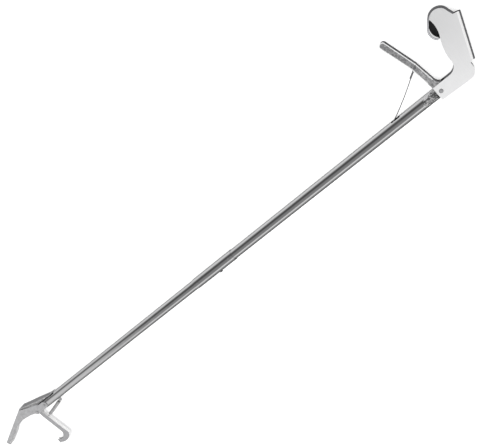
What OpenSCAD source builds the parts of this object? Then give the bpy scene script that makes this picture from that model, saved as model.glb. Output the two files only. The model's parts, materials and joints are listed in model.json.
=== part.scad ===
// Long-reach pick-up tongs: a pistol grip with a squeeze trigger, a two-piece round tube, and a
// fixed jaw with a hooked moving jaw that a pull cable closes and a coil spring opens again.
// The tool lies on its side: +X runs along the tube from the jaws to the handle, +Y points to the
// trigger side and +Z points up, away from the surface it rests on.

/* [Tube] */
// Outside diameter of the tube
tube_d = 19.05; // [18.6:0.05:19.2]
// Wall thickness of the tube
tube_wall = 1.2; // [0.9:0.1:1.4]
// Distance from the jaw end of the tube to the handle pin
reach = 1074; // [900:1:1300]
// Length of the tube past the handle pin, inside the grip
tube_tail = 30; // [20:1:34]

/* [Joint sleeve] */
// Outside diameter of the sleeve that joins the two tube lengths
sleeve_d = 20.8; // [20.4:0.1:21.4]
// Length of the sleeve
sleeve_len = 102; // [80:1:120]
// Distance from the jaw end of the tube to the middle of the sleeve
sleeve_mid = 560; // [400:1:700]

/* [Handle] */
// Depth of the handle over both side plates
handle_depth = 25.6; // [25.4:0.1:27]
// Thickness of the handle and jaw sheet metal
sheet = 1.5; // [1.2:0.1:1.6]
// Outside radius of the bends along the back of the grip
back_bend_r = 6; // [4:0.5:8]
// Radius of the rounded crown at the top of the grip
crown_r = 17.6; // [16:0.1:18]
// Radius of the nose in front of the crown
nose_r = 17.2; // [16:0.1:18]
// Radius of the crook where the grip meets the tube
crook_r = 15; // [12:0.5:16]

/* [Trigger] */
// Thickness of the trigger's sheet metal
trigger_sheet = 1.2; // [1:0.1:1.2]
// Half width of the trigger at its bend
bend_half = 5.2; // [4.8:0.1:5.8]
// Radius of the trigger's rounded tip
tip_r = 5.5; // [5:0.1:6]
// Height of the raised rim round the trigger's side faces
rim_h = 0.5; // [0.3:0.1:0.8]

/* [Jaws] */
// Length of the fixed jaw from its knuckle to its tip
leg_len = 116; // [105:1:130]
// Angle of the fixed jaw's leg from +X
leg_angle = 202.2; // [198:0.1:206]
// Depth of the moving jaw
jaw_depth = 7; // [6.6:0.1:8]
// Distance from the jaw pivot to the crank pin
crank_r = 11.1; // [10:0.1:11.8]
// Angle of the crank from +X with the jaws open
crank_angle = 130; // [125:1:135]

/* [Cable and spring] */
// Diameter of the pull cable
cable_d = 1.8; // [1.4:0.1:2]
// Outside diameter of the return spring
spring_d = 7.5; // [6.5:0.1:8]
// Number of coils in the return spring
spring_coils = 26; // [20:1:30]

/* [Hidden] */
$fn = 64;

aluminium = [0.80, 0.81, 0.82];
steel = [0.68, 0.69, 0.70];
dark_steel = [0.42, 0.43, 0.44];
nylon = [0.90, 0.90, 0.86];

tube_r = tube_d / 2;
bore_r = tube_r - tube_wall;
cable_r = cable_d / 2;
running = 0.05;        // radial clearance of a turning fit
seat = 0.02;           // radial clearance of a fixed pin in its hole
over = 1;              // how far a cutter reaches past what it cuts

// Handle outline, measured from the handle pin
half_depth = handle_depth / 2;
plate_in = half_depth - sheet;
handle_front = -7;
crown = [63.5, 87];
nose = [54.3, 76];
crown_nose_angle = 140;
nose_end_angle = 225;
notch = [84, 79.6];
palm = [120.5, 27];      // centre of the long arc down the front of the grip
palm_r = 82;
palm_angle = 153.3;
nose_cut_r = 49;
nose_hole = [62, 78];    // the opening stops short of the nose, leaving a lip round it
nose_hole_r = 20;
crown_rim = 2.6;         // the crown strip is folded double
crook = [24, tube_r + 0.175 + sheet + crook_r];
strip_start = 14;      // the front strip stops here to let the trigger swing
heel = [44, 0];
heel_r = 14.3;
step_y = 5.5;
base_front = -12.6;
back_low = [66.8, 6.2];
back_angle = 69.5;
back_len = 74.6;
pin_r = 2.5;
head_h = 1.2;

// Trigger outline, measured from the handle pin
flange_in = tube_r + 0.275;
flange_out = flange_in + trigger_sheet;
ear_r = 8;
bend = [-8.6, 56];
tip = [-24.2, 111.4];
low_angle = 98;        // direction of the lower arm
high_angle = atan2(tip.y - bend.y, tip.x - bend.x);
neck = [13.8, 22];     // centre of the fillet behind the trigger's ear
neck_r = 12;
web_low = 12.5;
rim_w = 1.6;
rim_low = 22;
anchor = [-8.5, 53.2];
anchor_r = 1.5;

// Cable route: down from the anchor, through the slot, then along the tube
slot_mid = reach - 82;
cable_in = reach - 84; // where the swinging run enters the slot
run_swing = 13;        // how far the run turns against the trigger
slot_reach = 22;       // how far the swinging run goes on inside the slot, to stay in it when pulled
slot_len = 16.5;
slot_w = 7;
slot_turn = 15;        // the slot is turned up a little from the cable's plane
guide_len = 14;
upper_guide_x = reach - 118;
lower_guide_x = 92;
cable_join = 70;       // where the inner cable meets its lower end
join_gap = 2;
cable_run = [reach + anchor.x - cable_in, anchor.y - tube_r];
cable_slope = atan2(cable_run.y, cable_run.x);
ferrule_gap = 10;
ferrule_len = 9;
ferrule_r = 1.6;
lower_ferrule_r = 1.35;
lower_ferrule_end = 6.3;

// Jaws, measured from the centre of the tube's jaw end
jaw_out = tube_r + 0.075 + sheet;
jaw_in = jaw_out - sheet;
floor_gap = half_depth - jaw_out;  // rivet heads fill this, so the tool lies level
knuckle = [-47.5, 27.3];
knuckle_r = 5;
strap_end = 54;
strap_flat = 42;
ear = [17, 0];
pivot = [-12, -3.4];
pivot_r = 2;
pivot_ear_r = 4.6;
leg_dir = [cos(leg_angle), sin(leg_angle)];
leg_in = [-leg_dir.y, leg_dir.x];
function leg_at(u) = knuckle + u * leg_dir;
leg_tip = leg_at(leg_len);
cup_at = leg_len - 41; // the cup at the leg's tip starts here
cup_h = 9;
cheek_out = jaw_depth / 2;
jaw_eye_r = 6;
crank_at = pivot + crank_r * [cos(crank_angle), sin(crank_angle)];
crank_pin_r = 1.5;
crank_end_r = 2.8;
hook_out = [-15.5, -66.5];
hook_out_r = 28.5;
hook_in = [-21, -70];
hook_in_r = 15;
spring_top = [54, -13.5];
spring_low = [-4.6, -26.5];
spring_wire_r = 0.5;
lug_hole_r = 1.4;
spring_run = spring_top - spring_low;
spring_span = norm(spring_run);
spring_end = 7;        // from each hook's seat to the coils
coil_len = spring_span - 2 * spring_end;
spring_pitch = coil_len / spring_coils;
spring_ring_r = 2.4;
crossbar_half = cheek_out - sheet - 0.3;

// Half the overall size, so the origin sits under the middle of the tool
mid_x = (reach + back_low.x + back_len * cos(back_angle) + leg_tip.x) / 2;
mid_y = (tip.y + tip_r + hook_out.y - hook_out_r) / 2;

// Points along an arc about c from angle a0 to a1
function arc(c, r, a0, a1, n = 12) =
    [for (i = [0:n]) c + r * [cos(a0 + (a1 - a0) * i / n), sin(a0 + (a1 - a0) * i / n)]];
function reversed(p) = [for (i = [len(p) - 1:-1:0]) p[i]];
// Unit normal on the left of the line from a to b
function left_of(a, b) = [a.y - b.y, b.x - a.x] / norm(b - a);
// The path p moved t to its left, with mitred corners
function moved_left(p, t) = [for (i = [0:len(p) - 1])
    let (n0 = i > 0 ? left_of(p[i - 1], p[i]) : left_of(p[0], p[1]),
         n1 = i < len(p) - 1 ? left_of(p[i], p[i + 1]) : n0,
         m = (n0 + n1) / norm(n0 + n1))
    p[i] + m * t / (m * n0)];

// Everything is drawn from the centre of the tube's jaw end, then set over the origin
module place() translate([-mid_x, -mid_y, half_depth]) children();
module at_handle() place() translate([reach, 0, 0]) children();
module strip(p, t) polygon(concat(p, reversed(moved_left(p, t))));
module slab(z0, z1) translate([0, 0, z0]) linear_extrude(z1 - z0) children();
// The same sheet above and below the middle plane
module both_sides(z0, z1) for (s = [0, 1]) mirror([0, 0, s]) slab(z0, z1) children();
module along_x(x0, x1) translate([x0, 0, 0]) rotate([0, 90, 0]) linear_extrude(x1 - x0) children();
module pin(r, z0, z1) translate([0, 0, z0]) cylinder(h = z1 - z0, r = r);
// A rod between two points of the middle plane
module rod(a, b, r) translate([a.x, a.y, 0])
    rotate([0, 0, atan2(b.y - a.y, b.x - a.x)]) along_x(0, norm(b - a)) circle(r);

// ---- Tube ----
module tube_length(x0, x1) along_x(x0, x1) difference() {
    circle(tube_r, $fn = 96);
    circle(bore_r, $fn = 96);
}

module tube_lower() color(aluminium) place() difference() {
    tube_length(0, sleeve_mid - 0.5);
    for (s = [0, 1]) mirror([0, 0, s]) translate([ear.x, ear.y, 0]) pin(1.6 + seat, 1, tube_r + over);
    translate([strap_end - 8, 0, 0]) rotate([-90, 0, 0]) pin(1.6 + seat, 1, tube_r + over);
}

module tube_upper() color(aluminium) place() difference() {
    tube_length(sleeve_mid + 0.5, reach + tube_tail);
    rotate([slot_turn, 0, 0]) translate([slot_mid, tube_r, 0])
        cube([slot_len, 2 * tube_r - 4, slot_w], center = true);
    translate([reach, 0, 0]) pin(pin_r + seat, -tube_r - over, tube_r + over);
}

module joint_sleeve() color(aluminium) place() difference() {
    along_x(sleeve_mid - sleeve_len / 2, sleeve_mid + sleeve_len / 2) difference() {
        circle(sleeve_d / 2, $fn = 96);
        circle(tube_r + seat, $fn = 96);
    }
    for (s = [-1, 1]) translate([sleeve_mid + s * (sleeve_len / 2 - 9), 0, 0])
        pin(1.4, 1, sleeve_d);
    translate([sleeve_mid + 8, 0, 0]) rotate([90, 0, 0]) pin(1.6, 1, sleeve_d);
}

module sleeve_rivets() color(steel) place()
    for (s = [-1, 1]) translate([sleeve_mid + s * (sleeve_len / 2 - 9), 0, 0]) {
        pin(1.4 - seat, tube_r + 0.1, sleeve_d / 2 + 0.1);
        pin(2.4, sleeve_d / 2 + 0.02, sleeve_d / 2 + 0.7);
    }

module sleeve_screw() color(steel) place()
    translate([sleeve_mid + 8, 0, 0]) rotate([90, 0, 0]) difference() {
        union() {
            pin(1.6 - seat, tube_r + 0.1, sleeve_d / 2 + 0.1);
            pin(3, sleeve_d / 2 + 0.02, sleeve_d / 2 + 2);
        }
        translate([0, 0, sleeve_d / 2 + 2]) cube([8, 0.8, 1.6], center = true);
    }

module guide(x0) color(nylon) place() along_x(x0, x0 + guide_len) difference() {
    circle(bore_r - running);
    circle(cable_r + 0.2);
}
module lower_guide() guide(lower_guide_x);
module upper_guide() guide(upper_guide_x);

// ---- Handle ----
// Each path runs with the plate on its left; d moves it in from the outside of the handle
function base_path(d) = concat([[handle_front, base_front + d]], arc(heel, heel_r - d, 270, 360),
    [[heel.x + heel_r - d, step_y]]);
function crown_path(d) = concat([notch - [d, 0]],
    arc(crown, crown_r - d, 5, crown_nose_angle, 24),
    arc(nose, nose_r - d, crown_nose_angle, nose_end_angle, 14),
    [palm + palm_r * [cos(palm_angle), sin(palm_angle)] + [-0.3, d]]);
function grip_path(d) = concat(arc(palm, palm_r - d, palm_angle, 180, 10),
    arc(crook, crook_r + d, 360, 270), [[strip_start, crook.y - crook_r - d]]);
back_in = back_low + back_bend_r * [-sin(back_angle), cos(back_angle)];
back_top = back_in + back_len * [cos(back_angle), sin(back_angle)];

module plate() polygon(concat(base_path(0), [back_in, back_top], crown_path(crown_rim),
    grip_path(0), [[handle_front, crook.y - crook_r]]));

// The side away from the floor is cut back in front to open the hollow nose
module nose_cut() {
    cut = palm + (palm_r + nose_cut_r) * [cos(palm_angle), sin(palm_angle)];
    intersection() {
        translate(cut) circle(nose_cut_r, $fn = 120);
        translate(nose_hole) circle(nose_hole_r, $fn = 72);
        translate([0, palm.y + palm_r * sin(palm_angle) - 0.01]) square([60, 60]);
    }
}

module back_fold() {
    edge = back_bend_r + 0.5;
    side = half_depth - back_bend_r;
    function bend_line(r) = concat([[edge, -side - r]],
        arc([back_bend_r, -side], r, 270, 180, 8), arc([back_bend_r, side], r, 180, 90, 8),
        [[edge, side + r]]);
    translate(back_low) rotate([0, 0, back_angle]) rotate([90, 0, 90]) linear_extrude(back_len)
        polygon(concat(bend_line(back_bend_r), reversed(bend_line(back_bend_r - sheet))));
}

module handle_shell() color(aluminium) at_handle() difference() {
    union() {
        slab(-half_depth, -plate_in) plate();
        slab(plate_in, half_depth) difference() {
            plate();
            nose_cut();
        }
        back_fold();
    }
    pin(pin_r + seat, -half_depth - over, half_depth + over);
}

// The crown's strip wraps the plates' edges and the other two lie between the plates
module edge_strip(outer, inner, half) color(aluminium) at_handle()
    slab(-half, half) polygon(concat(outer, reversed(inner)));
module crown_strip() edge_strip(crown_path(0), crown_path(crown_rim), half_depth);
module grip_strip() edge_strip(grip_path(0), grip_path(sheet), plate_in);
module base_strip() edge_strip(base_path(0), base_path(sheet), plate_in);

module handle_pin() color(steel) at_handle() {
    pin(pin_r, -half_depth, half_depth + 0.1);
    translate([0, 0, half_depth]) cylinder(h = head_h, r1 = pin_r + 0.9, r2 = pin_r + 0.3);
}

// ---- Trigger ----
function trigger_front(d) = concat([[-ear_r + d + 0.4, web_low]],
    [bend + (bend_half - d) * [cos((low_angle + high_angle) / 2 + 90),
                               sin((low_angle + high_angle) / 2 + 90)]],
    arc(tip, tip_r - d, high_angle + 90, high_angle - 60, 20));
function trigger_back(d) = concat(
    arc(tip, tip_r - d, high_angle - 60, high_angle - 90, 4),
    arc(bend, bend_half - d, high_angle - 90, low_angle - 90, 3),
    arc(neck, neck_r + d, 180, 240, 6));

module trigger_side() {
    polygon(concat(trigger_front(0), trigger_back(0), [[ear_r, 0], [-ear_r, 0]]));
    circle(ear_r);
}

module trigger_rim() intersection() {
    difference() {
        polygon(concat(trigger_front(0), trigger_back(0)));
        polygon(concat(trigger_front(rim_w), trigger_back(rim_w)));
    }
    translate([-60, rim_low]) square([100, 120]);
}

module trigger() color(steel) at_handle() difference() {
    union() {
        both_sides(flange_in, flange_out) trigger_side();
        both_sides(flange_out - 0.1, flange_out + rim_h) trigger_rim();
        slab(-flange_in - 0.2, flange_in + 0.2) polygon(concat(trigger_front(0),
            reversed(trigger_front(trigger_sheet))));
    }
    pin(pin_r + running, -flange_out - over, flange_out + over);
    translate(anchor) pin(anchor_r + seat, -flange_out - over, flange_out + over);
    translate(anchor) rotate([0, 0, 180 + cable_slope]) slab(-2.5, 2.5) polygon(
        [[0, -2.3], [13, -2.3], [13, 2.3 + 13 * tan(run_swing)], [0, 2.3]]);
}

module cable_anchor_pin() color(steel) at_handle() translate(anchor) {
    pin(anchor_r, -flange_out, flange_out);
    for (s = [0, 1]) mirror([0, 0, s]) pin(anchor_r + 0.7, flange_out, flange_out + rim_h);
}

// ---- Cable ----
module on_cable_line() at_handle() translate(anchor) rotate([0, 0, 180 + cable_slope]) children();

module ring(r_in, r_out, h) linear_extrude(h, center = true) difference() {
    circle(r_out);
    circle(r_in);
}

module cable_loop() color(steel) on_cable_line() {
    rotate_extrude() translate([anchor_r + running + cable_r, 0]) circle(cable_r, $fn = 24);
    along_x(anchor_r + 1.4 * cable_r, ferrule_gap) circle(cable_r);
}

module upper_ferrule() color(dark_steel) on_cable_line() along_x(ferrule_gap, ferrule_gap + ferrule_len)
    circle(ferrule_r);

module pull_cable() color(steel) on_cable_line()
    along_x(ferrule_gap + ferrule_len, norm(cable_run) + slot_reach) circle(cable_r, $fn = 24);

module inner_cable() color(steel) place()
    along_x(cable_join, upper_guide_x + guide_len) circle(cable_r, $fn = 24);

module lower_cable() color(steel) place()
    rod(crank_at + [lower_ferrule_end + 0.1, 0], [cable_join - join_gap, 0], cable_r, $fn = 24);

module cable_eye() color(dark_steel) place() translate(crank_at)
    ring(crank_pin_r + running, crank_end_r + 0.2, 2.2);

module lower_ferrule() color(dark_steel) place() translate(crank_at) difference() {
    along_x(2, lower_ferrule_end) circle(lower_ferrule_r);
    pin(crank_end_r + 0.2, -over - lower_ferrule_r, over + lower_ferrule_r);
}

// ---- Fixed jaw ----
module jaw_side() {
    polygon(concat([[ear.x, 8], [6, 8.2], [-1, 12.5], [-14, 15.5], [-29, 19.5],
        leg_at(2) + sheet / 2 * leg_in, leg_at(leg_len + over) + sheet / 2 * leg_in,
        leg_at(leg_len + over) + cup_h * leg_in, leg_at(cup_at) + cup_h * leg_in,
        leg_at(cup_at - 10) + 7 * leg_in,
        [-97, -1.5], [-79, 2], [-60, 4], [-33, 1], [-19.5, -2.5]],
        arc(pivot, pivot_ear_r, 200, 280, 8), [[-2, -8], [ear.x, -8]]));
    translate(ear) circle(8);
}

// Along the leg, seen square to its web
module along_leg() translate(knuckle) rotate([0, 0, leg_angle]) rotate([-90, 0, 0]) children();
module tongue(x0, r) {
    translate([x0, -r]) square([leg_len - jaw_out - x0, 2 * r]);
    translate([leg_len - jaw_out, 0]) circle(r);
}

// Both sides of the jaw, joined by the round end of the leg
module jaw_walls() intersection() {
    slab(-jaw_out - over, jaw_out + over) jaw_side();
    along_leg() linear_extrude(160, center = true) difference() {
        tongue(-90, jaw_out);
        tongue(-90 - over, jaw_in);
    }
}

// The strap's outer face: along the tube, up to the knuckle and round into the leg
module strap() {
    top = jaw_out;
    rise = atan2(knuckle.y - top, strap_flat - knuckle.x);
    c = knuckle - knuckle_r * [cos(leg_angle - 90), sin(leg_angle - 90)];
    path = concat([[strap_end, top], [strap_flat, top]],
        arc(c, knuckle_r, 90 - rise, leg_angle - 90, 6), [knuckle + 4 * leg_dir]);
    intersection() {
        slab(-jaw_out, jaw_out) strip(path, sheet);
        rotate([90, 0, 0]) linear_extrude(120, center = true)
            polygon([[-80, -jaw_out], [5, -jaw_out], [strap_end, -7], [strap_end, 7],
                [5, jaw_out], [-80, jaw_out]]);
    }
}

module fixed_jaw() color(steel) place() difference() {
    union() {
        jaw_walls();
        strap();
        along_leg() linear_extrude(sheet) tongue(-3.5, jaw_out);
    }
    translate(ear) pin(1.6 + seat, -jaw_out - over, jaw_out + over);
    translate(pivot) pin(pivot_r + seat, -jaw_out - over, jaw_out + over);
    translate([strap_end - 8, 0, 0]) rotate([-90, 0, 0]) pin(1.6 + seat, tube_r - 1, jaw_out + over);
}

// A short rivet through a sheet and the tube wall, with a low head outside
module blind_rivet(sheet_top, head) {
    pin(1.6, bore_r - 1, sheet_top + 0.1);
    translate([0, 0, sheet_top]) cylinder(h = head, r1 = 3, r2 = 2.2);
}

module jaw_rivets() color(steel) place() for (s = [0, 1]) mirror([0, 0, s])
    translate(ear) blind_rivet(jaw_out, floor_gap);

module strap_rivet() color(steel) place() translate([strap_end - 8, 0, 0]) rotate([-90, 0, 0])
    blind_rivet(jaw_out, head_h);

module pivot_pin() color(steel) place() translate(pivot) {
    pin(pivot_r, -jaw_out - 0.1, jaw_out + 0.1);
    for (s = [0, 1]) mirror([0, 0, s]) translate([0, 0, jaw_out])
        cylinder(h = floor_gap, r1 = 3.6, r2 = 3);
}

module pivot_spacers() color(steel) place() translate(pivot) for (s = [-1, 1])
    translate([0, 0, s * (cheek_out + 0.2 + jaw_in) / 2])
        ring(pivot_r + running, 3.6, jaw_in - cheek_out - 0.2);

// ---- Moving jaw ----
function jaw_back(d) = concat([[-8.6 - d, -11]], arc(hook_out, hook_out_r - d, -38, -125, 14));
hook_tip = [[-33.5, -92], [-32.5, -80]];

module cheek() {
    polygon(concat([pivot + [-jaw_eye_r, 0]], [[-17, -16]], arc(hook_in, hook_in_r, -12, -110, 12),
        reversed(hook_tip), reversed(jaw_back(0)), [pivot + [jaw_eye_r, 0]]));
    translate(pivot) circle(jaw_eye_r);
    translate(crank_at) circle(crank_end_r);
    translate(pivot) rotate(crank_angle)
        polygon([[0, -jaw_eye_r], [crank_r, -crank_end_r], [crank_r, crank_end_r], [0, jaw_eye_r]]);
}

module moving_jaw() color(steel) place() difference() {
    union() {
        both_sides(cheek_out - sheet, cheek_out) cheek();
        slab(-cheek_out, cheek_out) polygon(concat(jaw_back(0), [hook_tip[0]],
            [hook_tip[0] + [0.2, 2]], reversed(jaw_back(sheet))));
    }
    translate(pivot) pin(pivot_r + running, -cheek_out - over, cheek_out + over);
    translate(crank_at) pin(crank_pin_r + seat, -cheek_out - over, cheek_out + over);
    translate(spring_low) rotate([0, 90, 0]) cylinder(h = 8, r = 1.3, center = true);
}

module crank_pin() color(steel) place() translate(crank_at) pin(crank_pin_r, -cheek_out, cheek_out);

// ---- Return spring ----
module spring_lug() color(steel) place() difference() {
    slab(-0.75, 0.75) union() {
        translate(spring_top) circle(3.4);
        translate([spring_top.x - 3.4, spring_top.y]) square([6.8, -spring_top.y - tube_r]);
        translate([spring_top.x - 5, -tube_r - 1.2]) square([10, 1.2]);
    }
    translate(spring_top) pin(lug_hole_r, -over, over);
}

module on_spring_line() place() translate(spring_low)
    rotate([0, 0, atan2(spring_run.y, spring_run.x)]) children();

// Close coils with a ring through the lug
module return_spring() color(steel) on_spring_line() {
    translate([spring_end, 0, 0]) rotate([0, 90, 0]) rotate_extrude() {
        for (i = [0:spring_coils - 1]) translate([spring_d / 2 - spring_wire_r,
            (i + 0.5) * spring_pitch]) circle(spring_pitch / 2, $fn = 16);
        translate([spring_d / 2 - 2 * spring_wire_r, 0]) square([spring_wire_r, coil_len]);
        for (z = [0.2, coil_len - 1.2]) translate([0, z]) square([spring_d / 2 - spring_wire_r, 1]);
    }
    along_x(spring_span - spring_end - 0.6, spring_span - 2 * spring_ring_r) circle(spring_wire_r, $fn = 24);
    translate([spring_span - spring_ring_r, 0, 0]) rotate([90, 0, 0]) rotate_extrude()
        translate([spring_ring_r, 0]) circle(spring_wire_r, $fn = 24);
}

// The other end of the spring's wire, with its crossbar behind the moving jaw's web
module spring_hook() color(steel) on_spring_line() {
    along_x(-3.4, spring_end - 0.1) circle(spring_wire_r, $fn = 24);
    translate([-3.4, 0, 0]) pin(spring_wire_r, -crossbar_half, crossbar_half);
}

tube_lower();
tube_upper();
joint_sleeve();
sleeve_rivets();
sleeve_screw();
lower_guide();
upper_guide();
handle_shell();
crown_strip();
grip_strip();
base_strip();
handle_pin();
trigger();
cable_anchor_pin();
cable_loop();
upper_ferrule();
pull_cable();
inner_cable();
fixed_jaw();
jaw_rivets();
strap_rivet();
pivot_pin();
pivot_spacers();
moving_jaw();
crank_pin();
cable_eye();
lower_ferrule();
lower_cable();
spring_lug();
return_spring();
spring_hook();
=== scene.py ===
import json
import math
import bmesh
import bpy
from mathutils import Matrix, Vector


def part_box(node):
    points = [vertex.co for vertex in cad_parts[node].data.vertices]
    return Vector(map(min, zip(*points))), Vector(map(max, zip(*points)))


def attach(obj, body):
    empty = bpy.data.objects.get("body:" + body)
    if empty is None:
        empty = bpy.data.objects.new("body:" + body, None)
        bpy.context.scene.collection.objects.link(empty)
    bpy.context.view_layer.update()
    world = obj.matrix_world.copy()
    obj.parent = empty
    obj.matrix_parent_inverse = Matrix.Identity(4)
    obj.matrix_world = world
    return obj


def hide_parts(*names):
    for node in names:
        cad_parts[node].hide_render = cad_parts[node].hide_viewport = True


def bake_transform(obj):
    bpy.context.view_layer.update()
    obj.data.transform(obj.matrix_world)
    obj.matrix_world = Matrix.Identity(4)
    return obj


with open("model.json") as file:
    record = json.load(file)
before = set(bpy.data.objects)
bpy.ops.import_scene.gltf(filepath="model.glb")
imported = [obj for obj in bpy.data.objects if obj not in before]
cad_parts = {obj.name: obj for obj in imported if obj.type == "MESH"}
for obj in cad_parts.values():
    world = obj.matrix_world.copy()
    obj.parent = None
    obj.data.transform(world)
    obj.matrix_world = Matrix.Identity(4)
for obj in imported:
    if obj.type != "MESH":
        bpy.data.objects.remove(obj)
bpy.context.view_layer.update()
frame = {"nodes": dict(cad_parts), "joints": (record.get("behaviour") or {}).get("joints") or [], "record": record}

MM = 0.001

# ---- Places taken from the CAD ----
JOINT_AT = {j["name"]: Vector(j["pos_m"]) for j in frame["joints"] if "pos_m" in j}

# The end of the tube's axis at the jaws
tube_lo, tube_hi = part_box("tube_lower")
TOOL = Vector((tube_lo.x, (tube_lo.y + tube_hi.y) / 2, (tube_lo.z + tube_hi.z) / 2))
MID_Y, MID_Z = TOOL.y, TOOL.z


def centre(node):
    """The middle of a node's box at rest."""
    lo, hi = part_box(node)
    return (lo + hi) / 2


def in_middle(point):
    """The point's place on the plane that halves the tool, through the tube's axis."""
    return Vector((*point.xy, MID_Z))


ANCHOR = in_middle(JOINT_AT["upper_run_pivot"])
PIN = in_middle(centre("handle_pin"))
# Round CROWN the handle's colour is darkened: painted shade.
CROWN = PIN + Vector((60, 95, 0)) * MM
# Round NOSE the crown rim's colour is lightened: painted light.
NOSE = PIN + Vector((53, 70, 12)) * MM
TRIGGER_TIP = PIN + Vector((-24, 111, 12)) * MM
DENTED = PIN + Vector((-20, -8, 7)) * MM

# ---- Camera ----
LENS_MM = 51.32
SENSOR_MM = 36
CAMERA_FROM_TOOL = Vector((1.1822, 0.1541, 1.1091))
CAMERA_RIGHT = Vector((0.70149, -0.66323, -0.26084))
CAMERA_BACK = Vector((0.42435, 0.09465, 0.90054))


def add_object(name, data):
    """A new object in the scene."""
    thing = bpy.data.objects.new(name, data)
    bpy.context.scene.collection.objects.link(thing)
    return thing


def add_camera():
    data = bpy.data.cameras.new("camera")
    data.lens = LENS_MM
    data.sensor_width = SENSOR_MM
    data.clip_start, data.clip_end = 0.01, 50
    camera = add_object("camera", data)
    up = CAMERA_BACK.cross(CAMERA_RIGHT).normalized()
    turn = Matrix((CAMERA_RIGHT, up, CAMERA_BACK)).transposed()
    camera.matrix_world = Matrix.Translation(TOOL + CAMERA_FROM_TOOL) @ turn.to_4x4()
    bpy.context.scene.camera = camera


# ---- Light ----
KEY_AT = Vector((0.3, 0.2, 2.6))
KEY_TARGET = Vector((0.1, 0, 0))
KEY_SIZE = (2.6, 1.6)
KEY_WATTS = 66

# Brightness by a direction's angle round the tube, as (degrees, level): straight up is 0, level on the
# trigger's side is 90 and level on the other side is -90. NEAR_WALLS is what lies over the handle, and
# FAR_WALLS what lies beyond the jaws.
NEAR_WALLS = [(-178, 0.15), (-104, 0.28), (-84, 0.34), (-74, 0.50), (-60, 1.0), (-48, 1.0), (-38, 0.32),
              (-10, 0.28), (10, 0.25), (26, 0.10), (52, 0.10), (68, 0.50), (88, 1.0), (120, 0.85),
              (150, 0.60), (172, 0.20)]
FAR_WALLS = [(-178, 0.15), (-110, 0.32), (-84, 0.50), (-60, 0.80), (-30, 0.85), (0, 0.85), (22, 0.60),
             (38, 0.14), (54, 0.14), (72, 0.70), (100, 0.95), (140, 0.75), (170, 0.20)]
# A direction's X, below which only the far walls show, and above which only the near ones do
FAR_X, NEAR_X = -0.67, -0.60


def add_node(tree, kind, **settings):
    """A new shader node with its properties set."""
    node = tree.nodes.new(kind)
    for key, value in settings.items():
        setattr(node, key, value)
    return node


def add_world():
    """Long soft walls of light along the tube, which its metal reflects as lines."""
    world = bpy.data.worlds.new("studio")
    world.use_nodes = True
    tree = world.node_tree
    direction = add_node(tree, "ShaderNodeSeparateXYZ")
    coords = add_node(tree, "ShaderNodeTexCoord")
    tree.links.new(coords.outputs["Generated"], direction.inputs["Vector"])
    angle = add_node(tree, "ShaderNodeMath", operation="ARCTAN2")
    tree.links.new(direction.outputs["Y"], angle.inputs[0])
    tree.links.new(direction.outputs["Z"], angle.inputs[1])
    share = add_node(tree, "ShaderNodeMapRange")
    share.inputs["From Min"].default_value = -math.pi
    share.inputs["From Max"].default_value = math.pi
    tree.links.new(angle.outputs["Value"], share.inputs["Value"])
    along = add_node(tree, "ShaderNodeMapRange")
    along.inputs["From Min"].default_value = FAR_X
    along.inputs["From Max"].default_value = NEAR_X
    tree.links.new(direction.outputs["X"], along.inputs["Value"])
    mix = add_node(tree, "ShaderNodeMix", data_type="RGBA")
    tree.links.new(along.outputs["Result"], mix.inputs["Factor"])
    for walls, socket in ((FAR_WALLS, "A"), (NEAR_WALLS, "B")):
        ramp = add_node(tree, "ShaderNodeValToRGB")
        elements = ramp.color_ramp.elements
        while len(elements) < len(walls):
            elements.new(0.5)
        for element, (degrees, level) in zip(elements, walls):
            element.position = degrees / 360 + 0.5
            element.color = (level, level, level, 1)
        tree.links.new(share.outputs["Result"], ramp.inputs["Fac"])
        tree.links.new(ramp.outputs["Color"], mix.inputs[socket])
    tree.links.new(mix.outputs["Result"], tree.nodes["Background"].inputs["Color"])
    bpy.context.scene.world = world


def add_key():
    """One large soft lamp overhead, which the metal doesn't mirror."""
    data = bpy.data.lights.new("key", "AREA")
    data.shape = "RECTANGLE"
    data.size, data.size_y = KEY_SIZE
    data.energy = KEY_WATTS
    key = add_object("key", data)
    key.location = KEY_AT
    key.rotation_euler = (KEY_TARGET - KEY_AT).to_track_quat("-Z", "Y").to_euler()
    key.visible_glossy = False


# ---- Materials ----
CLOUD_SHARE, GRAIN_SHARE = 0.6, 0.4
GRAIN_DEPTH = 0.2 * MM
DENT_DEPTH = 0.6 * MM
CRUMPLE_DEPTH = 4 * MM
CRUMPLE_SCALE = 260.0


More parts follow.
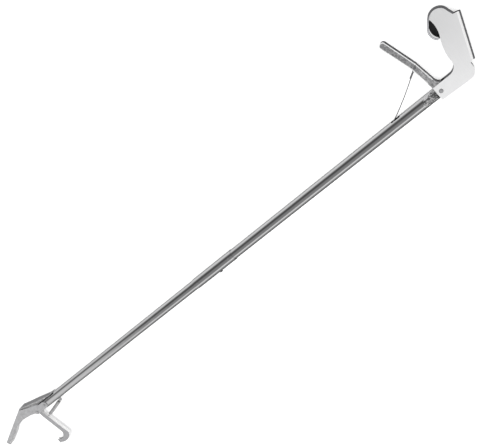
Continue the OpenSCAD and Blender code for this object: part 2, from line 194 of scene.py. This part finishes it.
class Nodes:
    """Short names for building a material's nodes."""

    def __init__(self, name):
        self.material = bpy.data.materials.new(name)
        self.material.use_nodes = True
        self.tree = self.material.node_tree
        self.shader = self.tree.nodes["Principled BSDF"]
        self.coords = self.add("ShaderNodeTexCoord").outputs["Object"]

    def add(self, kind, **settings):
        return add_node(self.tree, kind, **settings)

    def link(self, a, b):
        self.tree.links.new(a, b)

    def noise(self, scale, stretch=(1, 1, 1), turn=0.0, detail=4.0, rough=0.55):
        place = self.add("ShaderNodeMapping")
        place.inputs["Scale"].default_value = stretch
        place.inputs["Rotation"].default_value = (0, 0, turn)
        self.link(self.coords, place.inputs["Vector"])
        node = self.add("ShaderNodeTexNoise")
        node.inputs["Scale"].default_value = scale
        node.inputs["Detail"].default_value = detail
        node.inputs["Roughness"].default_value = rough
        self.link(place.outputs["Vector"], node.inputs["Vector"])
        return node.outputs["Fac"]

    def ramp(self, value, low, high, at=(0.3, 0.7)):
        """Goes from low to high as value crosses the span at, and stays level outside it."""
        node = self.add("ShaderNodeMapRange")
        node.inputs["From Min"].default_value, node.inputs["From Max"].default_value = at
        node.inputs["To Min"].default_value, node.inputs["To Max"].default_value = low, high
        self.link(value, node.inputs["Value"])
        return node.outputs["Result"]

    def maths(self, operation, a, b):
        node = self.add("ShaderNodeMath", operation=operation)
        for socket, value in zip(node.inputs, (a, b)):
            if isinstance(value, (int, float)):
                socket.default_value = value
            else:
                self.link(value, socket)
        return node.outputs["Value"]

    def mix(self, factor, low, high):
        node = self.add("ShaderNodeMix", data_type="RGBA")
        self.link(factor, node.inputs["Factor"])
        node.inputs["A"].default_value = (*low, 1)
        node.inputs["B"].default_value = (*high, 1)
        return node.outputs["Result"]

    def distance(self, point):
        """How far the shaded spot is from a point of its own body."""
        node = self.add("ShaderNodeVectorMath", operation="DISTANCE")
        self.link(self.coords, node.inputs[0])
        node.inputs[1].default_value = point
        return node.outputs["Value"]

    def scaled(self, colour, factor):
        node = self.add("ShaderNodeVectorMath", operation="SCALE")
        self.link(colour, node.inputs[0])
        self.link(factor, node.inputs["Scale"])
        return node.outputs["Vector"]

    def bump(self, height, strength, distance, onto=None):
        node = self.add("ShaderNodeBump")
        node.inputs["Strength"].default_value = strength
        node.inputs["Distance"].default_value = distance
        self.link(height, node.inputs["Height"])
        if onto is not None:
            self.link(onto, node.inputs["Normal"])
        return node.outputs["Normal"]


def metal(name, colour, rough, spread, grain=(1, 1, 1), turn=0.0, grain_scale=900.0,
          grain_bump=0.05, mottle=0.08, mottle_scale=60.0, dents=0.0, dent_scale=120.0, metallic=1.0,
          edge=1.0, specular=0.5, fade=None, crumple=None):
    """A metal with a directional grain, cloudy colour and roughness, and optional shallow dents.
    edge below 1 darkens the reflection at a glancing angle, a painted shade along the outlines.
    fade is (point, near, far, level): the colour is level times as light within near of the point, and
    unchanged beyond far. crumple is (point, radius): deep dents round the point."""
    n = Nodes(name)
    clouds = n.noise(mottle_scale, detail=3.0)
    streaks = n.noise(grain_scale, grain, turn, detail=6.0, rough=0.7)
    dark = tuple(c * (1 - mottle) for c in colour)
    light = tuple(min(1.0, c * (1 + mottle * 0.6)) for c in colour)
    both = n.maths("ADD", n.maths("MULTIPLY", clouds, CLOUD_SHARE),
                   n.maths("MULTIPLY", streaks, GRAIN_SHARE))
    base = n.mix(n.ramp(both, 0.0, 1.0), dark, light)
    if fade:
        point, near, far, level = fade
        base = n.scaled(base, n.ramp(n.distance(point), level, 1.0, (near, far)))
    n.link(base, n.shader.inputs["Base Color"])
    n.link(n.ramp(both, rough - spread, rough + spread), n.shader.inputs["Roughness"])
    n.shader.inputs["Metallic"].default_value = metallic
    n.shader.inputs["Specular Tint"].default_value = (edge, edge, edge, 1)
    n.shader.inputs["Specular IOR Level"].default_value = specular
    normal = n.bump(streaks, grain_bump, GRAIN_DEPTH)
    if dents:
        normal = n.bump(n.noise(dent_scale, detail=2.0), dents, DENT_DEPTH, normal)
    if crumple:
        point, radius = crumple
        inside = n.ramp(n.distance(point), 1.0, 0.0, (0.6 * radius, radius))
        folds = n.maths("MULTIPLY", n.noise(CRUMPLE_SCALE, detail=1.0), inside)
        normal = n.bump(folds, 1.0, CRUMPLE_DEPTH, normal)
    n.link(normal, n.shader.inputs["Normal"])
    return n.material


def plastic(name, colour):
    """A slightly cloudy moulded plastic with a fine skin."""
    n = Nodes(name)
    clouds = n.noise(220.0)
    n.link(n.mix(n.ramp(clouds, 0.0, 1.0), tuple(c * 0.9 for c in colour), colour),
           n.shader.inputs["Base Color"])
    n.link(n.ramp(clouds, 0.4, 0.55), n.shader.inputs["Roughness"])
    n.link(n.bump(n.noise(1500.0), 0.1, GRAIN_DEPTH), n.shader.inputs["Normal"])
    return n.material


def paper():
    """The floor's pale paper, which glows a little so that it stays white."""
    n = Nodes("floor_paper")
    clouds = n.noise(3.0, detail=2.0)
    n.link(n.mix(n.ramp(clouds, 0.0, 1.0), (0.86, 0.86, 0.86), (0.88, 0.88, 0.88)),
           n.shader.inputs["Base Color"])
    n.shader.inputs["Roughness"].default_value = 0.9
    n.shader.inputs["Specular IOR Level"].default_value = 0.1
    n.shader.inputs["Emission Color"].default_value = (1, 1, 1, 1)
    n.shader.inputs["Emission Strength"].default_value = 0.45
    n.link(n.bump(n.noise(400.0), 0.05, 0.3 * MM), n.shader.inputs["Normal"])
    return n.material


# No metal and next to no reflection, for faces whose colour is painted: dark as painted shade (edges, rims,
# insides), light as painted light (the jaws' shaded inner faces)
DULL = dict(metallic=0.0, specular=0.1)
# The tube's edge of 0.35 darkens its reflection at a glancing angle: painted shade along its outlines.
TUBE = dict(colour=(0.66, 0.66, 0.665), rough=0.15, spread=0.05, grain=(0.02, 1, 1), grain_bump=0.06,
            mottle=0.05, dents=0.10, dent_scale=90.0, edge=0.35)
JAW = dict(rough=0.36, spread=0.07, grain=(0.1, 1, 1), turn=0.4, grain_scale=700.0, metallic=0.6)

METALS = {
    "tube_metal": TUBE,
    "tube_dented": dict(TUBE, crumple=(DENTED, 0.016)),
    # handle_metal's fade darkens it towards the crown: painted shade.
    "handle_metal": dict(colour=(0.96, 0.96, 0.965), rough=0.42, spread=0.06, grain=(1, 0.05, 1),
                         turn=0.35, grain_scale=700.0, mottle=0.05, mottle_scale=25.0, metallic=0.4,
                         fade=(CROWN, 0.02, 0.12, 0.80)),
    # Painted shade: a dark finish for the handle's cut edges and the handle pin's sides.
    "handle_edge_painted_shade": dict(DULL, colour=(0.115, 0.115, 0.12), rough=0.5, spread=0.08, mottle=0.15),
    "crown_rim_painted_shade_and_light": dict(DULL, colour=(0.10, 0.10, 0.105), rough=0.45, spread=0.08, mottle=0.15,
                       # Painted shade along the crown strip's top, lightened near the nose as painted light.
                       fade=(NOSE, 0.021, 0.032, 6.0)),
    # Painted highlight: a lighter copy of the handle's metal for the back fold and the strips' tops.
    "handle_lip_painted_highlight": dict(colour=(0.95, 0.95, 0.95), rough=0.35, spread=0.05, mottle=0.03, metallic=0.3),
    # Painted shade: near black for the handle's and the tubes' inner faces.
    "inside_painted_shade": dict(DULL, colour=(0.05, 0.05, 0.052), rough=0.5, spread=0.08, mottle=0.3,
                          mottle_scale=160.0),
    "trigger_metal": dict(colour=(0.56, 0.56, 0.57), rough=0.36, spread=0.08, grain=(1, 0.1, 1),
                          turn=0.3, grain_scale=600.0, mottle=0.75, mottle_scale=260.0, dents=1.0,
                          dent_scale=300.0, metallic=0.6, fade=(TRIGGER_TIP, 0.04, 0.09, 0.75)),
    # Painted highlight: a light copy of the trigger's metal on its outermost flat faces.
    "trigger_rim": dict(colour=(0.92, 0.92, 0.92), rough=0.30, spread=0.06, mottle=0.08, metallic=0.4),
    # Painted shade: a dark finish for the trigger's edges and for the cable's anchor pin, standing for the hole's
    # shade.
    "trigger_edge_painted_shade": dict(DULL, colour=(0.13, 0.13, 0.135), rough=0.5, spread=0.08, mottle=0.15),
    "jaw_metal": dict(JAW, colour=(0.58, 0.58, 0.59), mottle=0.30, mottle_scale=130.0),
    # Painted shade: a dark finish for the jaws' edges and bevels and the spring lug's edges.
    "jaw_edge_painted_shade": dict(DULL, colour=(0.22, 0.22, 0.225), rough=0.5, spread=0.08, mottle=0.25,
                     mottle_scale=160.0),
    # Painted light: a light finish for the jaws' inner faces that lie in shade.
    "jaw_side": dict(DULL, colour=(0.88, 0.88, 0.88), rough=0.5, spread=0.08, mottle=0.1,
                     mottle_scale=160.0),
    "jaw_dull": dict(JAW, colour=(0.50, 0.50, 0.51), mottle=0.2, mottle_scale=120.0),
    "fastener": dict(colour=(0.62, 0.62, 0.63), rough=0.28, spread=0.06, mottle=0.08),
    "spring_steel": dict(colour=(0.62, 0.62, 0.62), rough=0.35, spread=0.06, mottle=0.12, metallic=0.6),
    "cable_steel": dict(colour=(0.66, 0.66, 0.67), rough=0.34, spread=0.08, mottle=0.14),
    "ferrule_metal": dict(colour=(0.42, 0.42, 0.43), rough=0.42, spread=0.08, mottle=0.15),
}
MATERIALS = {name: metal(name, **look) for name, look in METALS.items()}
MATERIALS["guide_nylon"] = plastic("guide_nylon", (0.88, 0.88, 0.84))
MATERIALS["paper"] = paper()

# ---- Mesh helpers ----


def make_piece(name, verts, faces, slot, body):
    """A smooth piece with its material. A piece that bends between two bodies has None for body."""
    mesh = bpy.data.meshes.new(name)
    mesh.from_pydata([tuple(v) for v in verts], [], faces)
    mesh.validate()
    bm = bmesh.new()
    bm.from_mesh(mesh)
    bmesh.ops.recalc_face_normals(bm, faces=bm.faces)
    bm.to_mesh(mesh)
    bm.free()
    for polygon in mesh.polygons:
        polygon.use_smooth = True
    piece = add_object(name, mesh)
    piece.data.materials.append(MATERIALS[slot])
    if body is not None:
        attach(piece, body)
    return piece


def ring_faces(rings, sides, capped=True):
    """Faces between rings of sides verts each, laid one after another, with the two ends capped."""
    faces = []
    for i in range(rings - 1):
        for k in range(sides):
            a, b = i * sides + k, i * sides + (k + 1) % sides
            faces.append((a, b, b + sides, a + sides))
    if capped:
        faces.append(tuple(range(sides)))
        faces.append(tuple(range((rings - 1) * sides, rings * sides)))
    return faces


def crossings(points):
    """Each point of a path, with two directions square to the path that turn as little as they can."""
    side = None
    for i, p in enumerate(points):
        ahead = (points[min(i + 1, len(points) - 1)] - points[max(i - 1, 0)]).normalized()
        if side is None:
            side = ahead.orthogonal().normalized()
        side = (side - ahead * side.dot(ahead)).normalized()
        yield p, side, ahead.cross(side)


def sweep(points, radius, sides):
    """A round wire along points, closed at both ends, as (verts, faces)."""
    verts = []
    for p, side, other in crossings(points):
        for k in range(sides):
            a = math.tau * k / sides
            verts.append(p + radius * (math.cos(a) * side + math.sin(a) * other))
    return verts, ring_faces(len(points), sides)


def joined(parts):
    """Several (verts, faces) as one."""
    verts, faces = [], []
    for v, f in parts:
        base = len(verts)
        verts += v
        faces += [tuple(i + base for i in face) for face in f]
    return verts, faces


def smooth_path(points, step):
    """Points on a Catmull-Rom curve through points, about step apart."""
    out = []
    ends = [2 * points[0] - points[1], *points, 2 * points[-1] - points[-2]]
    for i in range(1, len(ends) - 2):
        p0, p1, p2, p3 = ends[i - 1:i + 3]
        count = max(2, round((p2 - p1).length / step))
        for k in range(count):
            t = k / count
            out.append(0.5 * (2 * p1 + (p2 - p0) * t + (2 * p0 - 5 * p1 + 4 * p2 - p3) * t * t
                              + (3 * p1 - p0 - 3 * p2 + p3) * t * t * t))
    out.append(points[-1].copy())
    return out


OUTER_STRANDS = 6
STRAND_SIDES = 6
STRAND_GAP = 0.98    # outer strands are this much of their full thickness, so that they part


def rope(points, diameter, pitch):
    """Strands wound round a core along points, as (verts, faces). Three strands span the diameter."""
    strand = diameter / 6
    parts = [sweep(points, strand, STRAND_SIDES)]
    along = [0.0]
    for a, b in zip(points, points[1:]):
        along.append(along[-1] + (b - a).length)
    for s in range(OUTER_STRANDS):
        wound = []
        for length, (p, side, other) in zip(along, crossings(points)):
            a = math.tau * (s / OUTER_STRANDS + length / pitch)
            wound.append(p + 2 * strand * (math.cos(a) * side + math.sin(a) * other))
        parts.append(sweep(wound, strand * STRAND_GAP, STRAND_SIDES))
    return joined(parts)


def frame_at(origin, ahead):
    """Turns (along, across, up) measures into points of the shared frame."""
    ahead = ahead.normalized()
    up = Vector((0, 0, 1))
    across = up.cross(ahead)
    return lambda x, y, z=0.0: origin + ahead * x + across * y + up * z


# ---- Carried-over CAD nodes: finish and softened edges ----
# Width of each softened edge in millimetres
SOFT_EDGES = {
    "handle_shell": 0.35, "crown_strip": 0.7, "grip_strip": 0.3, "base_strip": 0.3,
    "trigger": 0.25, "fixed_jaw": 0.45, "moving_jaw": 0.6,
    "handle_pin": 0.35, "cable_anchor_pin": 0.2, "jaw_rivets": 0.35, "strap_rivet": 0.35,
    "pivot_pin": 0.3, "sleeve_rivets": 0.25, "sleeve_screw": 0.2, "spring_lug": 0.25,
    "crank_pin": 0.2, "cable_eye": 0.3,
}
# The bevels of these nodes get a dark finish: painted shade along their edges.
DARK_EDGES = {"moving_jaw": "jaw_edge_painted_shade", "fixed_jaw": "jaw_edge_painted_shade", "crown_strip": "handle_edge_painted_shade"}
EDGE_SEGMENTS = 2
EDGE_ANGLE = math.radians(40)
WELD_DISTANCE = 1e-6


def finish_nodes():
    """Gives every CAD node its slot's material, and softens the edges listed above."""
    slot_of = {s["node"]: s["material_slot"] for s in frame["record"]["subparts"]}
    for name, node in frame["nodes"].items():
        node.data.materials.clear()
        node.data.materials.append(MATERIALS[slot_of[name]])
        if name in SOFT_EDGES:
            weld = node.modifiers.new("weld", "WELD")
            weld.merge_threshold = WELD_DISTANCE
            bevel = node.modifiers.new("soft_edges", "BEVEL")
            bevel.width = SOFT_EDGES[name] * MM
            bevel.segments = EDGE_SEGMENTS
            bevel.limit_method = "ANGLE"
            bevel.angle_limit = EDGE_ANGLE
            bevel.harden_normals = True
            # A dark finish on the bevels: painted shade.
            if name in DARK_EDGES:
                node.data.materials.append(MATERIALS[DARK_EDGES[name]])
                bevel.material = 1


def paint_faces(name, finish, where):
    """Gives another finish to the faces of a CAD node for which where(centre, normal) is true.
    A later call paints over an earlier one."""
    node = frame["nodes"][name]
    node.data.materials.append(MATERIALS[finish])
    index = len(node.data.materials) - 1
    for polygon in node.data.polygons:
        if where(polygon.center, polygon.normal):
            polygon.material_index = index


def everywhere(c, n):
    return True


def edge_on(c, n):
    """Faces across the tool's thickness, such as the cut edges of sheet."""
    return abs(n.z) < 0.5


def flat_on(c, n):
    """Faces along the tool's two flat sides."""
    return abs(n.z) > 0.5


def on_top(c, n):
    return n.z > 0.9


def paint_handle():
    """Painted shade on the cut edges, the handle pin's sides, the crown's rim and the inside; painted light on the
    rim near the nose; a painted highlight on the lips.
    """
    paint_faces("handle_shell", "handle_lip_painted_highlight", lambda c, n: 0.8 < n.z < 0.998)
    for name in ("handle_shell", "crown_strip", "grip_strip", "base_strip"):
        paint_faces(name, "handle_edge_painted_shade", lambda c, n: abs(n.z) < 0.8)
    paint_faces("handle_pin", "handle_edge_painted_shade", lambda c, n: n.z < 0.9)
    paint_faces("handle_pin", "jaw_dull", on_top)
    paint_faces("crown_strip", "crown_rim_painted_shade_and_light", on_top)
    for name in ("grip_strip", "base_strip"):
        paint_faces(name, "handle_lip_painted_highlight", on_top)
    paint_faces("handle_shell", "inside_painted_shade",
                lambda c, n: flat_on(c, n) and (c.z - MID_Z) * n.z < 0)


def paint_trigger():
    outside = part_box("trigger")[1].z - MID_Z - 0.1 * MM
    # Painted shade on the trigger's edges and the anchor pin; a painted highlight on the trigger's outer faces.
    paint_faces("trigger", "trigger_edge_painted_shade", edge_on)
    paint_faces("trigger", "trigger_rim", lambda c, n: flat_on(c, n) and abs(c.z - MID_Z) > outside)
    paint_faces("cable_anchor_pin", "trigger_edge_painted_shade", everywhere)


def paint_jaws():
    cup_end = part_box("fixed_jaw")[0].x + 30 * MM
    # Painted shade on the jaws' and the lug's edges; painted light on the jaws' inner faces that lie in shade.
    paint_faces("fixed_jaw", "jaw_edge_painted_shade", lambda c, n: n.y > 0.7)
    paint_faces("fixed_jaw", "jaw_side", lambda c, n: n.x > 0.2 and c.x < cup_end)
    paint_faces("moving_jaw", "jaw_dull", flat_on)
    paint_faces("moving_jaw", "jaw_edge_painted_shade", edge_on)
    paint_faces("moving_jaw", "jaw_side", lambda c, n: edge_on(c, n) and n.x > 0.3)
    paint_faces("spring_lug", "jaw_edge_painted_shade", edge_on)
    paint_faces("fixed_jaw", "jaw_side", lambda c, n: n.z > 0.5 and c.z < MID_Z)
    paint_faces("fixed_jaw", "jaw_edge_painted_shade", lambda c, n: n.y < -0.9 and c.y > MID_Y)


def paint_tubes():
    """The dented stretch below the handle, and painted shade on the tubes' inner faces, which the cable's slot
    shows.
    """
    paint_faces("tube_upper", "tube_dented", everywhere)
    for name in ("tube_upper", "tube_lower"):
        paint_faces(name, "inside_painted_shade",
                    lambda c, n: (c.y - MID_Y) * n.y + (c.z - MID_Z) * n.z < 0)


# ---- Cable ----
ROPE_D = 1.8 * MM
ROPE_PITCH = 9 * MM
ROPE_STEP = 0.8 * MM
ROPE_BOW = 1.6 * MM    # how far the upper run bows to one side
BOW_RATE = 1.15        # above 1, so that the bow is over before the slot
RUN_POINTS = 15
LOOP_ROPE_D = 1.6 * MM
LOOP_PITCH = 7 * MM
LOOP_STEP = 0.5 * MM
LOOP_R = 2.3 * MM
FERRULE_LEN = 9 * MM
FERRULE_R = 1.6 * MM
CRIMPS = 3
CRIMP_SHARPNESS = 3.2
CRIMP_DEPTH = 0.16       # share of the radius lost in a crimp
LIP_START = 0.86         # share of the radius at the ferrule's very end
LIP_RISE = 4.4


def add_upper_run():
    """The rope from the trigger's pin to the tube's slot, with its loop and its crimped ferrule."""
    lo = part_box("pull_cable")[0]
    far = Vector((lo.x + ROPE_D / 4, lo.y + ROPE_D / 4, MID_Z))
    at = frame_at(ANCHOR, far - ANCHOR)
    length = (far - ANCHOR).length
    middle = (centre("upper_ferrule") - ANCHOR).length
    start, end = middle - FERRULE_LEN / 2, middle + FERRULE_LEN / 2
    route = [at(start + (length - start) * t, ROPE_BOW * math.sin(math.pi * min(1.0, t * BOW_RATE)))
             for t in (i / (RUN_POINTS - 1) for i in range(RUN_POINTS))]
    piece = make_piece("pull_rope", *rope(smooth_path(route, ROPE_STEP), ROPE_D, ROPE_PITCH),
                       "cable_steel", "upper_run")
    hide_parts("pull_cable")

    around = [at(LOOP_R * math.cos(math.radians(a)), LOOP_R * math.sin(math.radians(a)))
              for a in range(60, 301, 20)]
    legs = [(start + 1 * MM, 0.5 * MM), (start - 1.5 * MM, 0.8 * MM), (4.6 * MM, 1.3 * MM)]
    loop = [*(at(x, y) for x, y in legs), *around, *(at(x, -y) for x, y in reversed(legs))]
    piece = make_piece("rope_loop", *rope(smooth_path(loop, LOOP_STEP), LOOP_ROPE_D, LOOP_PITCH),
                       "cable_steel", "upper_run")
    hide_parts("cable_loop")

    piece = make_piece("rope_ferrule", *crimped(at, start, end), "ferrule_metal", "upper_run")
    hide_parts("upper_ferrule")


def crimped(at, x0, x1, rings=49, sides=28):
    """A short sleeve with rounded ends, squeezed flatter at each crimp, as (verts, faces)."""
    verts = []
    for i in range(rings):
        t = i / (rings - 1)
        squeeze = sum(math.exp(-((t - (d + 0.5) / CRIMPS) * CRIMPS * CRIMP_SHARPNESS) ** 2)
                      for d in range(CRIMPS))
        lip = min(1.0, LIP_START + LIP_RISE * min(t, 1 - t))
        for k in range(sides):
            a = math.tau * k / sides
            r = FERRULE_R * lip * (1 - CRIMP_DEPTH * squeeze * abs(math.sin(a)) ** 1.5)
            verts.append(at(x0 + (x1 - x0) * t, r * math.cos(a), r * math.sin(a)))
    return verts, ring_faces(rings, sides)


def add_lower_run():
    """The last stretch of rope, from the tube to the moving jaw's crank."""
    lo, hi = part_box("lower_cable")
    a = Vector((lo.x, hi.y - ROPE_D / 2, MID_Z))
    b = Vector((hi.x, lo.y + ROPE_D / 2, MID_Z))
    route = [a.lerp(b, i / 8) for i in range(9)]
    piece = make_piece("tail_rope", *rope(smooth_path(route, ROPE_STEP), ROPE_D, ROPE_PITCH),
                       "cable_steel", "lower_run")
    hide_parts("lower_cable")


# ---- Spring ----
SPRING_WIRE_R = 0.68 * MM
SPRING_SIDES = 10
COIL_R = 3.75 * MM - SPRING_WIRE_R
COIL_START = 7.0 * MM     # from the lug's pivot to the first turn
COIL_END = 10.4 * MM      # from the last turn to the hook's end
COIL_TURNS = 30
COIL_STEPS = 22
RING_R = 2.4 * MM
RING_STEPS = 26
RING_FROM = 200           # degrees round the ring at which the wire begins


def add_spring():
    """One wire: a ring in the lug, close coils, and a hook in the moving jaw's web."""
    top = in_middle(JOINT_AT["spring_pivot"])
    stretch = next(j for j in frame["joints"] if j["name"] == "spring_stretch")
    down = Vector(stretch["axis"]).normalized()
    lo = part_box("spring_hook")[0]
    low = Vector((lo.x + 0.5 * MM, lo.y + 0.5 * MM, MID_Z))
    span = (low - top).dot(down)
    at = frame_at(top, down)
    x0, x1 = COIL_START, span - COIL_END
    path = []
    for i in range(RING_STEPS + 1):
        a = math.radians(RING_FROM - i * 360 / RING_STEPS)
        path.append(at(RING_R + RING_R * math.cos(a), 0.0, RING_R * math.sin(a)))
    path += [at(5.4 * MM, 0, -0.6 * MM), at(6.4 * MM, COIL_R * 0.5, 0)]
    steps = COIL_TURNS * COIL_STEPS
    for i in range(steps + 1):
        a = math.tau * i / COIL_STEPS + math.pi / 2
        path.append(at(x0 + (x1 - x0) * i / steps, COIL_R * math.sin(a), COIL_R * math.cos(a)))
    path += [at(x1 + 0.9 * MM, COIL_R * 0.45, 0), at(x1 + 2.0 * MM, 0, 0), at(span - 1.5 * MM, 0, 0)]
    path += [at(span - 1.0 * MM, 0, 0), at(span - 0.3 * MM, 0, 0.5 * MM), at(span - 0.1 * MM, 0, 1.6 * MM)]
    piece = make_piece("coil_spring", *sweep(path, SPRING_WIRE_R, SPRING_SIDES), "spring_steel", None)
    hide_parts("return_spring", "spring_hook")
    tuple(at(x0, 0))
    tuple(at(x1, 0))
    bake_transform(piece)


# ---- Floor and backdrop ----
FLOOR_SIZE = 6.0
FLOOR_CELLS = 24
FLOOR_DROP = 0.2 * MM       # keeps the floor clear of the faces that rest on it
BACKDROP_RINGS = 25
BACKDROP_SIDES = 96
BACKDROP_NEAR, BACKDROP_FAR = 2.8, 9.0
BACKDROP_HEIGHT = 7.0
BACKDROP_DROP = 2 * MM


def add_floor():
    mesh = bpy.data.meshes.new("floor")
    bm = bmesh.new()
    bmesh.ops.create_grid(bm, x_segments=FLOOR_CELLS, y_segments=FLOOR_CELLS, size=FLOOR_SIZE / 2)
    bm.to_mesh(mesh)
    bm.free()
    floor = add_object("floor", mesh)
    floor.data.materials.append(MATERIALS["paper"])
    floor.visible_glossy = False
    floor.location.z = -FLOOR_DROP


def add_backdrop():
    """A paper sweep that rises far beyond the floor. It neither lights nor shades the tool."""
    verts = []
    for i in range(BACKDROP_RINGS):
        rise = i / (BACKDROP_RINGS - 1) * math.pi / 2
        r = BACKDROP_NEAR + (BACKDROP_FAR - BACKDROP_NEAR) * math.sin(rise)
        z = -BACKDROP_DROP + BACKDROP_HEIGHT * (1 - math.cos(rise))
        for k in range(BACKDROP_SIDES):
            a = math.tau * k / BACKDROP_SIDES
            verts.append((r * math.cos(a), r * math.sin(a), z))
    mesh = bpy.data.meshes.new("backdrop")
    mesh.from_pydata(verts, [], ring_faces(BACKDROP_RINGS, BACKDROP_SIDES, capped=False))
    for polygon in mesh.polygons:
        polygon.use_smooth = True
    backdrop = add_object("backdrop", mesh)
    backdrop.data.materials.append(MATERIALS["paper"])
    backdrop.visible_glossy = False
    backdrop.visible_diffuse = False
    backdrop.visible_shadow = False


add_camera()
finish_nodes()
paint_handle()
paint_trigger()
paint_jaws()
paint_tubes()
add_upper_run()
add_lower_run()
add_spring()
add_floor()
add_backdrop()
add_world()
add_key()
bpy.context.scene.view_settings.view_transform = "Standard"
